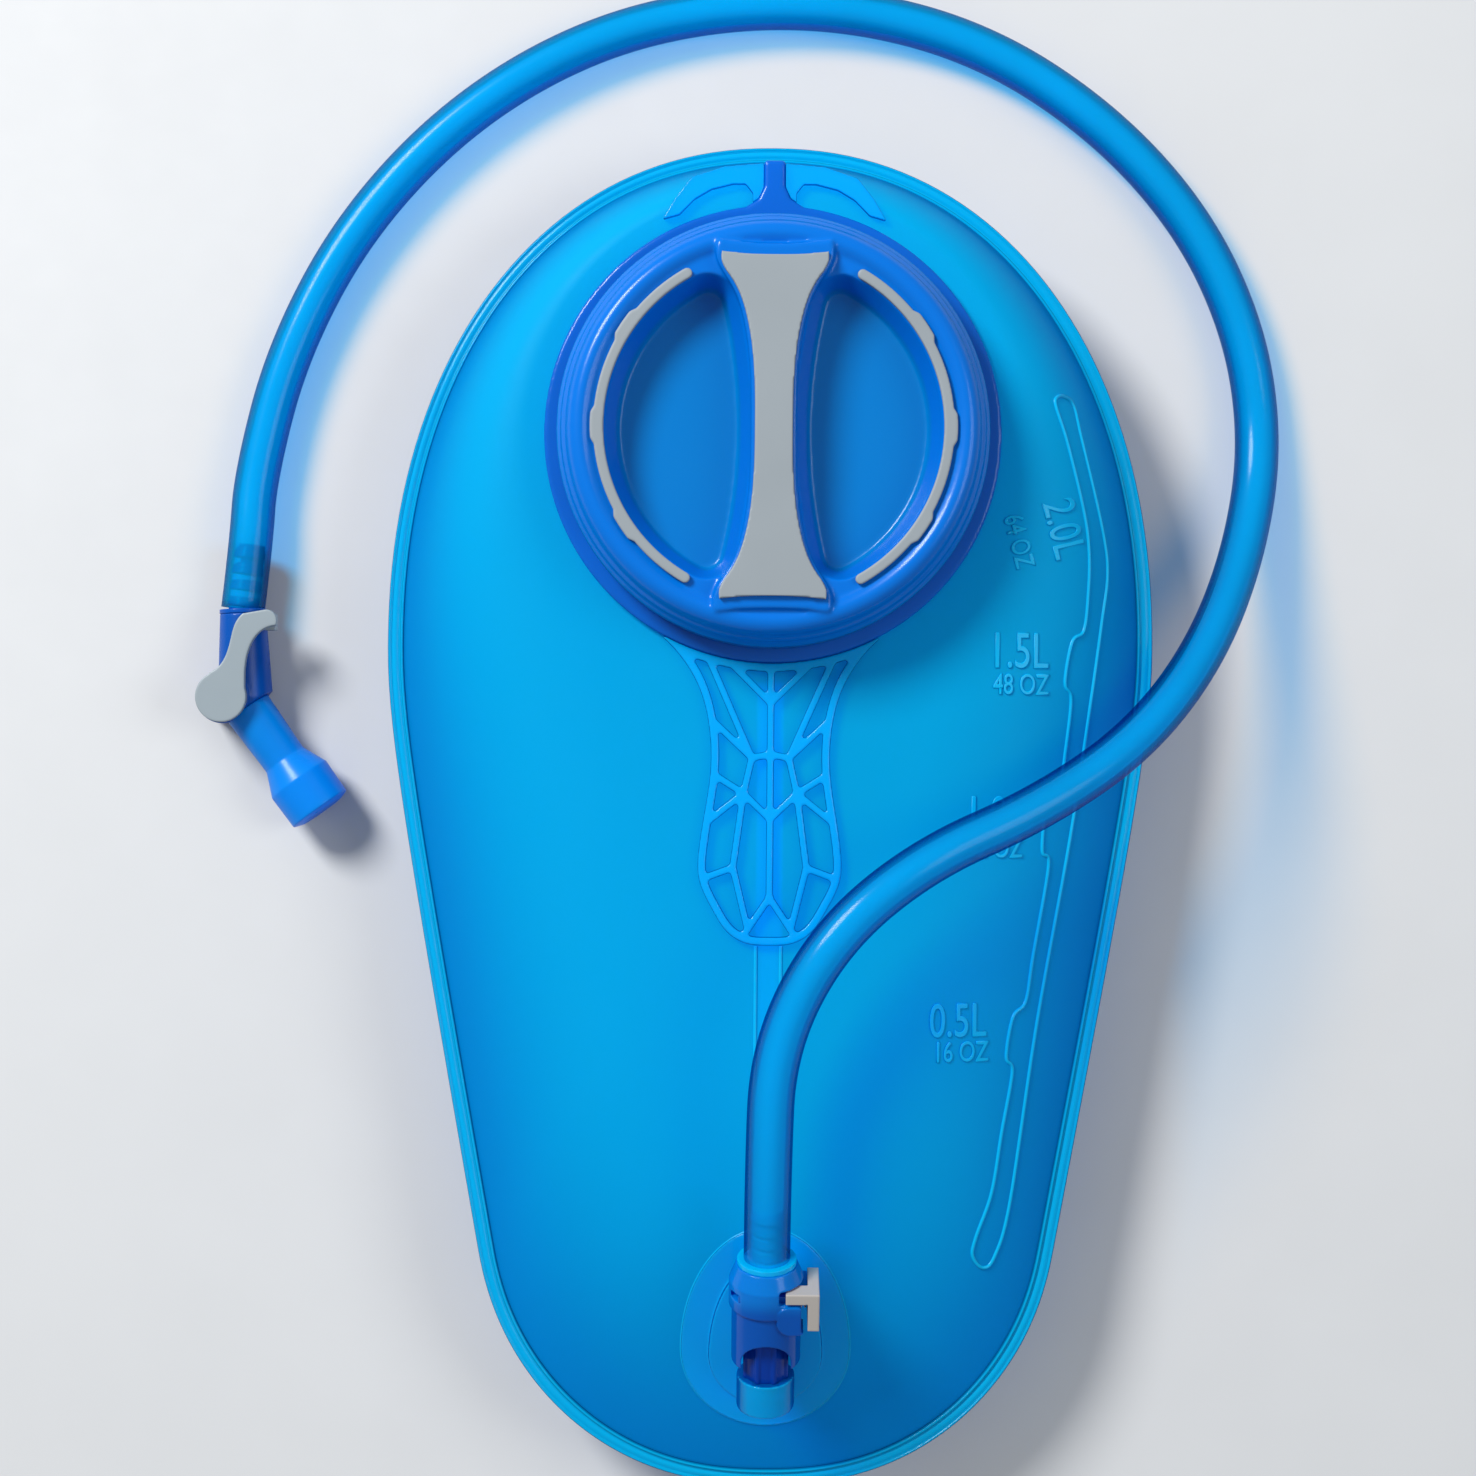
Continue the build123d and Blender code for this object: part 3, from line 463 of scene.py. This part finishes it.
MATERIALS = {
    "film": film_material(),
    "weld": weld_material(),
    "line": line_material(),
    # painted shade: wing and handle darken from their face colour to the second colour on upright walls
    "wing": moulded_material("wing", (0.0, 0.52, 1.0), (0.0, 0.12, 0.4)),
    "handle": moulded_material("handle", (0.0, 0.56, 1.0), (0.0, 0.1, 0.36)),
    "collar": clear("collar", (0.0, 0.16, 0.7), see=0.06, glow=0.3, rough=0.2, coat=0.12, shine=0.3),
    "cap": cap_material(),
    "grip": opaque("grip", (0.255, 0.29, 0.315), 0.55, drift=0.03, grain=1500.0),
    "seal": opaque("seal", (0.75, 0.78, 0.8), 0.45),
    # painted shade: the outlet darkens from its face colour to the second colour on upright walls
    "outlet": moulded_material("outlet", (0.0, 0.5, 0.92), (0.0, 0.1, 0.4), 0.75),
    "nipple": clear("nipple", (0.0, 0.05, 0.42), see=0.03, glow=0.3, rough=0.2, shine=0.25),
    "coupler": coupler_material(),
    "ring": clear("ring", (0.0, 0.68, 1.0), see=0.2, glow=0.4, rough=0.12),
    "latch": opaque("latch", (0.0, 0.15, 0.6), 0.3),
    "button": opaque("button", (0.4, 0.37, 0.34), 0.4, drift=0.03),
    "steel": metal("steel", (0.6, 0.6, 0.62), 0.25),
    "tube": tube_material(),
    "bore": bore_material(),
    "valve": clear("valve", (0.0, 0.1, 0.5), see=0.05, glow=0.25, rough=0.28, shine=0.3),
    "lever": opaque("lever", (0.26, 0.31, 0.34), 0.42, drift=0.03),
    "mouth": clear("mouth", (0.0, 0.32, 0.9), see=0.06, glow=0.4, rough=0.3, coat=0.1, shine=0.3),
}


# Mesh helpers


def piece(name, verts, faces, material, body="root", replaces=()):
    mesh = bpy.data.meshes.new(name)
    mesh.from_pydata([tuple(v) for v in verts], [], faces)
    mesh.validate()
    mesh.update()
    return finish_piece(mesh, name, material, body, replaces)


def finish_piece(mesh, name, material, body="root", replaces=()):
    """An object from a finished mesh, smooth, with its material, riding on its body."""
    mesh.materials.clear()
    mesh.materials.append(MATERIALS[material])
    mesh.polygons.foreach_set("use_smooth", [True] * len(mesh.polygons))
    obj = bpy.data.objects.new(name, mesh)
    bpy.context.scene.collection.objects.link(obj)
    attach(obj, body)
    if replaces:
        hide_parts(*replaces)
    return obj


def evaluated_mesh(obj):
    """A copy of what an object's modifiers make of it."""
    graph = bpy.context.evaluated_depsgraph_get()
    return bpy.data.meshes.new_from_object(obj.evaluated_get(graph))


def softened(node, material, voxel, rounds):
    """A CAD node with the small radii of a moulding all over, in place of the sharp one."""
    source = NODES[node]
    work = bpy.data.objects.new("work", source.data.copy())
    bpy.context.scene.collection.objects.link(work)
    remesh = work.modifiers.new("remesh", "REMESH")
    remesh.mode = "VOXEL"
    remesh.voxel_size = voxel
    smooth = work.modifiers.new("smooth", "SMOOTH")
    smooth.factor = 0.5
    smooth.iterations = rounds
    mesh = evaluated_mesh(work)
    bpy.data.objects.remove(work)
    return finish_piece(mesh, node + "_skin", material, source["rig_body"], [node])


def loft(rings):
    """Vertices and faces through rings of the same number of points."""
    count = len(rings[0])
    verts = [p for ring in rings for p in ring]
    faces = []
    for r in range(len(rings) - 1):
        for i in range(count):
            j = (i + 1) % count
            faces.append((r * count + i, r * count + j, (r + 1) * count + j, (r + 1) * count + i))
    return verts, faces


# The bag's outline and film


def side_half_width(y):
    below = max(0.0, WIDEST_Y - y)
    return HALF_WIDTH - TAPER * (math.hypot(below, SHOULDER) - SHOULDER)


def right_side():
    """Points down the bag's right edge, from the middle of the head to the middle of the toe."""
    points = []
    for degrees in range(0, 90, TURN_STEP):
        turn = math.radians(degrees)
        x = HALF_WIDTH * math.sin(turn) ** (2 / HEAD_POWER)
        y = WIDEST_Y + (END_Y - WIDEST_Y) * math.cos(turn) ** (2 / HEAD_POWER)
        points.append((x, y))
    for step in range(SIDE_STEPS):
        y = WIDEST_Y + (TOE_Y - WIDEST_Y) * step / SIDE_STEPS
        points.append((side_half_width(y), y))
    for degrees in range(0, 91, TURN_STEP):
        turn = math.radians(degrees)
        y = TOE_Y - (END_Y + TOE_Y) * math.sin(turn) ** (2 / TOE_POWER)
        x = side_half_width(y) * max(0.0, math.cos(turn)) ** (2 / TOE_POWER)
        points.append((x, y))
    return points


def both_sides(right):
    return right + [(-x, y) for x, y in reversed(right[1:-1])]


OUTLINE = np.array(both_sides(right_side()))


def inset(points, distance):
    """A closed outline moved inwards by a distance."""
    along = np.roll(points, -1, 0) - np.roll(points, 1, 0)
    along /= np.linalg.norm(along, axis=1)[:, None]
    return points + np.stack([along[:, 1], -along[:, 0]], 1) * distance


def flat_half_width(y):
    """Half width of the flat under the port: a large circle running down to a small one."""
    lean = (FLAT_R - FLAT_TAIL_R) / (PORT_Y - FLAT_TAIL_Y)
    high = PORT_Y - FLAT_R * lean
    low = FLAT_TAIL_Y - FLAT_TAIL_R * lean
    if y >= high:
        return math.sqrt(max(0.0, FLAT_R**2 - (y - PORT_Y) ** 2))
    if y <= low:
        return math.sqrt(max(0.0, FLAT_TAIL_R**2 - (y - FLAT_TAIL_Y) ** 2))
    across = math.sqrt(1 - lean**2)
    return across * (FLAT_TAIL_R + (FLAT_R - FLAT_TAIL_R) * (y - low) / (high - low))


def flat_outline():
    """The flat's outline, point for point with the bag's."""
    high, low = PORT_Y + FLAT_R, FLAT_TAIL_Y - FLAT_TAIL_R
    points = []
    for _, y in right_side():
        flat_y = high + (low - high) * (END_Y - y) / (2 * END_Y)
        points.append((flat_half_width(flat_y), flat_y))
    return np.array(both_sides(points))


def raised(points, z):
    return [(x, y, z) for x, y in points]


def front_film():
    """The front film: the dome from its weld up to the flat, and the flat as far as the port."""
    edge, flat = inset(OUTLINE, FLANGE), flat_outline()
    centre = np.array([0.0, PORT_Y])
    rays = flat - centre
    port = centre + rays / np.linalg.norm(rays, axis=1)[:, None] * NECK_R
    rings = []
    for share in np.linspace(0, 1, FRONT_RINGS):
        z = SEAM_Z + (PORT_Z - SEAM_Z) * (1 - (1 - share) ** 2)
        rings.append(raised(edge + (flat - edge) * share, z))
    for share in np.linspace(0, 1, PORT_RINGS)[1:]:
        rings.append(raised(flat + (port - flat) * share, PORT_Z))
    verts, faces = loft(rings)
    return piece("front_film", verts, faces, "film", replaces=["front_panel"])


def back_film():
    """The back film and the flat that the bag rests on."""
    edge = inset(OUTLINE, FLANGE)
    rest = OUTLINE * np.array([REST_X, REST_Y])
    rings = []
    for share in np.linspace(0, 1, BACK_RINGS):
        z = SEAM_Z * (1 - share) ** 2 + UNDERSIDE_LIFT
        rings.append(raised(edge + (rest - edge) * share, z))
    for share in REST_SHARES:
        rings.append(raised(rest * share, UNDERSIDE_LIFT))
    verts, faces = loft(list(reversed(rings)))
    faces.append(tuple(range(len(edge) - 1, -1, -1)))
    return piece("back_film", verts, faces, "film", replaces=["back_panel"])


def weld_flange():
    """The welded edge: two beads with a flat band between them."""
    section = [
        (0.0, -0.0006),
        (0.0, 0.0004),
        (0.0003, 0.0008),
        (0.0006, 0.0008),
        (0.0009, 0.0001),
        (0.0012, 0.0005),
        (0.0025, 0.0005),
        (0.0028, 0.0001),
        (0.0032, 0.0009),
        (0.0036, 0.0012),
        (0.0039, 0.0010),
        (0.0044, 0.0001),
        (0.0044, -0.0006),
    ]
    rings = [raised(inset(OUTLINE, d), SEAM_Z + z) for d, z in section]
    verts, faces = loft(rings + rings[:1])
    return piece("weld_flange", verts, faces, "weld")


film = front_film()
back_film()
weld_flange()
bpy.context.view_layer.update()
FILM_FACES = [tuple(face.vertices) for face in film.data.polygons]
FILM_TREE = BVHTree.FromPolygons([v.co for v in film.data.vertices], FILM_FACES)


def on_film(x, y):
    """The front film's height at a point."""
    hit = FILM_TREE.ray_cast(Vector((x, y, 1.0)), Vector((0, 0, -1)))[0]
    return hit.z if hit else SEAM_Z


def smooth_loop(points):
    """A closed, flowing line through plan points: a Catmull-Rom spline."""
    count = len(points)
    line = []
    for i in range(count):
        a, b, c, d = (np.array(points[k % count]) for k in (i - 1, i, i + 1, i + 2))
        for t in np.arange(LINE_RUN) / LINE_RUN:
            square = (2 * a - 5 * b + 4 * c - d) * t**2
            cube = (3 * b - a - 3 * c + d) * t**3
            line.append(0.5 * (2 * b + (c - a) * t + square + cube))
    return line


def embossed_line(name, points, closed, r=LINE_R):
    """A raised bead along the film."""
    curve = bpy.data.curves.new(name, "CURVE")
    curve.dimensions = "3D"
    curve.bevel_depth = r
    curve.bevel_resolution = 3
    spline = curve.splines.new("POLY")
    spline.points.add(len(points) - 1)
    for point, (x, y) in zip(spline.points, points):
        point.co = (x, y, on_film(x, y) - r * LINE_SINK, 1)
    spline.use_cyclic_u = closed
    work = bpy.data.objects.new(name, curve)
    bpy.context.scene.collection.objects.link(work)
    mesh = evaluated_mesh(work)
    bpy.data.objects.remove(work)
    return finish_piece(mesh, name, "line")


def mark(text, size, at, turn):
    """A volume mark raised on the film."""
    curve = bpy.data.curves.new("mark", "FONT")
    curve.body = text
    curve.size = size
    curve.extrude = MARK_DEPTH
    curve.offset = MARK_THINNER
    curve.bevel_depth = MARK_ROUND
    curve.bevel_resolution = 2
    work = bpy.data.objects.new("mark", curve)
    bpy.context.scene.collection.objects.link(work)
    mesh = evaluated_mesh(work)
    bpy.data.objects.remove(work)
    turn = math.radians(turn)
    for v in mesh.vertices:
        x, y = v.co.x * MARK_NARROW, v.co.y
        px = at[0] + x * math.cos(turn) - y * math.sin(turn)
        py = at[1] + x * math.sin(turn) + y * math.cos(turn)
        v.co = (px, py, on_film(px, py) + v.co.z + MARK_DEPTH)
    name = "mark_" + text.replace(" ", "_")
    return finish_piece(mesh, name, "line")


def egg(half_width, low, high, widest, count=72):
    """An egg-shaped outline about the bag's middle line."""
    points = []
    for step in range(count):
        turn = 2 * math.pi * step / count
        reach = high - widest if math.sin(turn) > 0 else widest - low
        points.append((half_width * math.cos(turn), widest + reach * math.sin(turn)))
    return points


def film_details():
    """Strip and marks of the volume scale, the baffle's weld lines and the outlet's weld."""
    embossed_line("scale_strip", smooth_loop(STRIP_INNER + STRIP_OUTER), True)
    for text, size, at, turn in MARKS:
        mark(text, size, at, turn)
    for side, x in BAFFLE_WELD_X.items():
        points = [(x, y) for y in np.linspace(*BAFFLE_WELD_Y, 40)]
        embossed_line("baffle_weld_" + side, points, False)
    outline = egg(half_width=0.0213, low=-0.1546, high=-0.1022, widest=-0.134)
    embossed_line("outlet_weld", outline, True, OUTLET_LINE_R)


film_details()


# Drink tube


def outlet_point(along):
    """A point on the coupler's axis."""
    y = OUTLET_Y + along * math.cos(OUTLET_TILT)
    return (0.0, y, OUTLET_Z + along * math.sin(OUTLET_TILT))


def route_curve(points):
    """The tube's line: an open spline with the route's points as its control points."""
    curve = bpy.data.curves.new("tube_line", "CURVE")
    curve.dimensions = "3D"
    curve.resolution_u = 14
    spline = curve.splines.new("NURBS")
    spline.points.add(len(points) - 1)
    for point, co in zip(spline.points, points):
        point.co = (*co, 1)
    spline.order_u = 3
    spline.use_endpoint_u = True
    return curve


def line_of(curve):
    """Points along a curve that has no bevel."""
    work = bpy.data.objects.new("line", curve)
    bpy.context.scene.collection.objects.link(work)
    mesh = evaluated_mesh(work)
    points = [v.co.copy() for v in mesh.vertices]
    bpy.data.objects.remove(work)
    return points


def tube_rings(path, r, sides=32):
    """Circles square to a path, turned as little as possible from one to the next."""
    rings, up = [], Vector((1, 0, 0))
    for i, p in enumerate(path):
        along = (path[min(i + 1, len(path) - 1)] - path[max(i - 1, 0)]).normalized()
        up = (up - along * up.dot(along)).normalized()
        side = along.cross(up)
        turns = [2 * math.pi * k / sides for k in range(sides)]
        rings.append([p + up * (r * math.cos(a)) + side * (r * math.sin(a)) for a in turns])
    return rings


def drink_tube():
    before_end = (TUBE_END[0] + 0.002, TUBE_END[1] + 0.0176, VALVE_Z)
    start = [outlet_point(TUBE_AT), outlet_point(TUBE_AT + EXIT_RUN)]
    path = line_of(route_curve([*start, *ROUTE, before_end, (*TUBE_END, VALVE_Z)]))
    outer = tube_rings(path, TUBE_R)
    inner = tube_rings(path, TUBE_BORE)
    verts, faces = loft(outer + inner[::-1] + outer[:1])
    tube = piece("tube_wall", verts, faces, "tube", replaces=["drink_tube"])
    tube.data.materials.append(MATERIALS["bore"])
    count = len(outer) * len(outer[0])
    for face in tube.data.polygons:
        face.material_index = int(min(face.vertices) >= count)
    return tube, path


# Mouldings


def dressed(nodes):
    """CAD nodes that stay as they are, each with its material."""
    for node, material in nodes.items():
        NODES[node].data.materials.clear()
        NODES[node].data.materials.append(MATERIALS[material])
    return [NODES[node] for node in nodes]


for row in BAG_MOULDINGS:
    softened(*row)
on_cord = [softened(*row) for row in CORD_MOULDINGS]
dressed(BAG_NODES)
on_cord += dressed(CORD_NODES)
tube, tube_path = drink_tube()


# Floor, lights and camera


def add_floor():
    place = (0, 0, FLOOR_Z)
    bpy.ops.mesh.primitive_grid_add(x_subdivisions=8, y_subdivisions=8, size=FLOOR_SIZE, location=place)
    floor = bpy.context.object
    floor.name = "floor"
    floor.data.materials.append(opaque("floor_paper", FLOOR_COLOUR, 0.75, drift=0.01, grain=700.0))


def area_light(name, at, size, power, colour):
    light = bpy.data.lights.new(name, "AREA")
    light.shape = "DISK"
    light.size = size
    light.energy = power
    light.color = colour
    obj = bpy.data.objects.new(name, light)
    bpy.context.scene.collection.objects.link(obj)
    obj.location = at
    obj.rotation_euler = (Vector(LAMPS_AIM) - Vector(at)).to_track_quat("-Z", "Y").to_euler()


def add_lights():
    area_light("key", KEY_AT, KEY_SIZE, KEY_POWER, KEY_COLOUR)
    area_light("fill", FILL_AT, FILL_SIZE, FILL_POWER, FILL_COLOUR)
    world = bpy.data.worlds.new("studio")
    world.use_nodes = True
    back = world.node_tree.nodes["Background"]
    back.inputs["Color"].default_value = (*SKY_COLOUR, 1)
    back.inputs["Strength"].default_value = SKY_STRENGTH
    bpy.context.scene.world = world


def add_camera():
    camera = bpy.data.cameras.new("camera")
    camera.sensor_width = SENSOR
    camera.lens = LENS
    obj = bpy.data.objects.new("camera", camera)
    bpy.context.scene.collection.objects.link(obj)
    obj.location = CAMERA_AT
    obj.rotation_euler = (0, 0, CAMERA_TURN)
    bpy.context.scene.camera = obj


add_floor()
add_lights()
add_camera()
bpy.context.scene.view_settings.view_transform = "Standard"

bpy.context.view_layer.update()
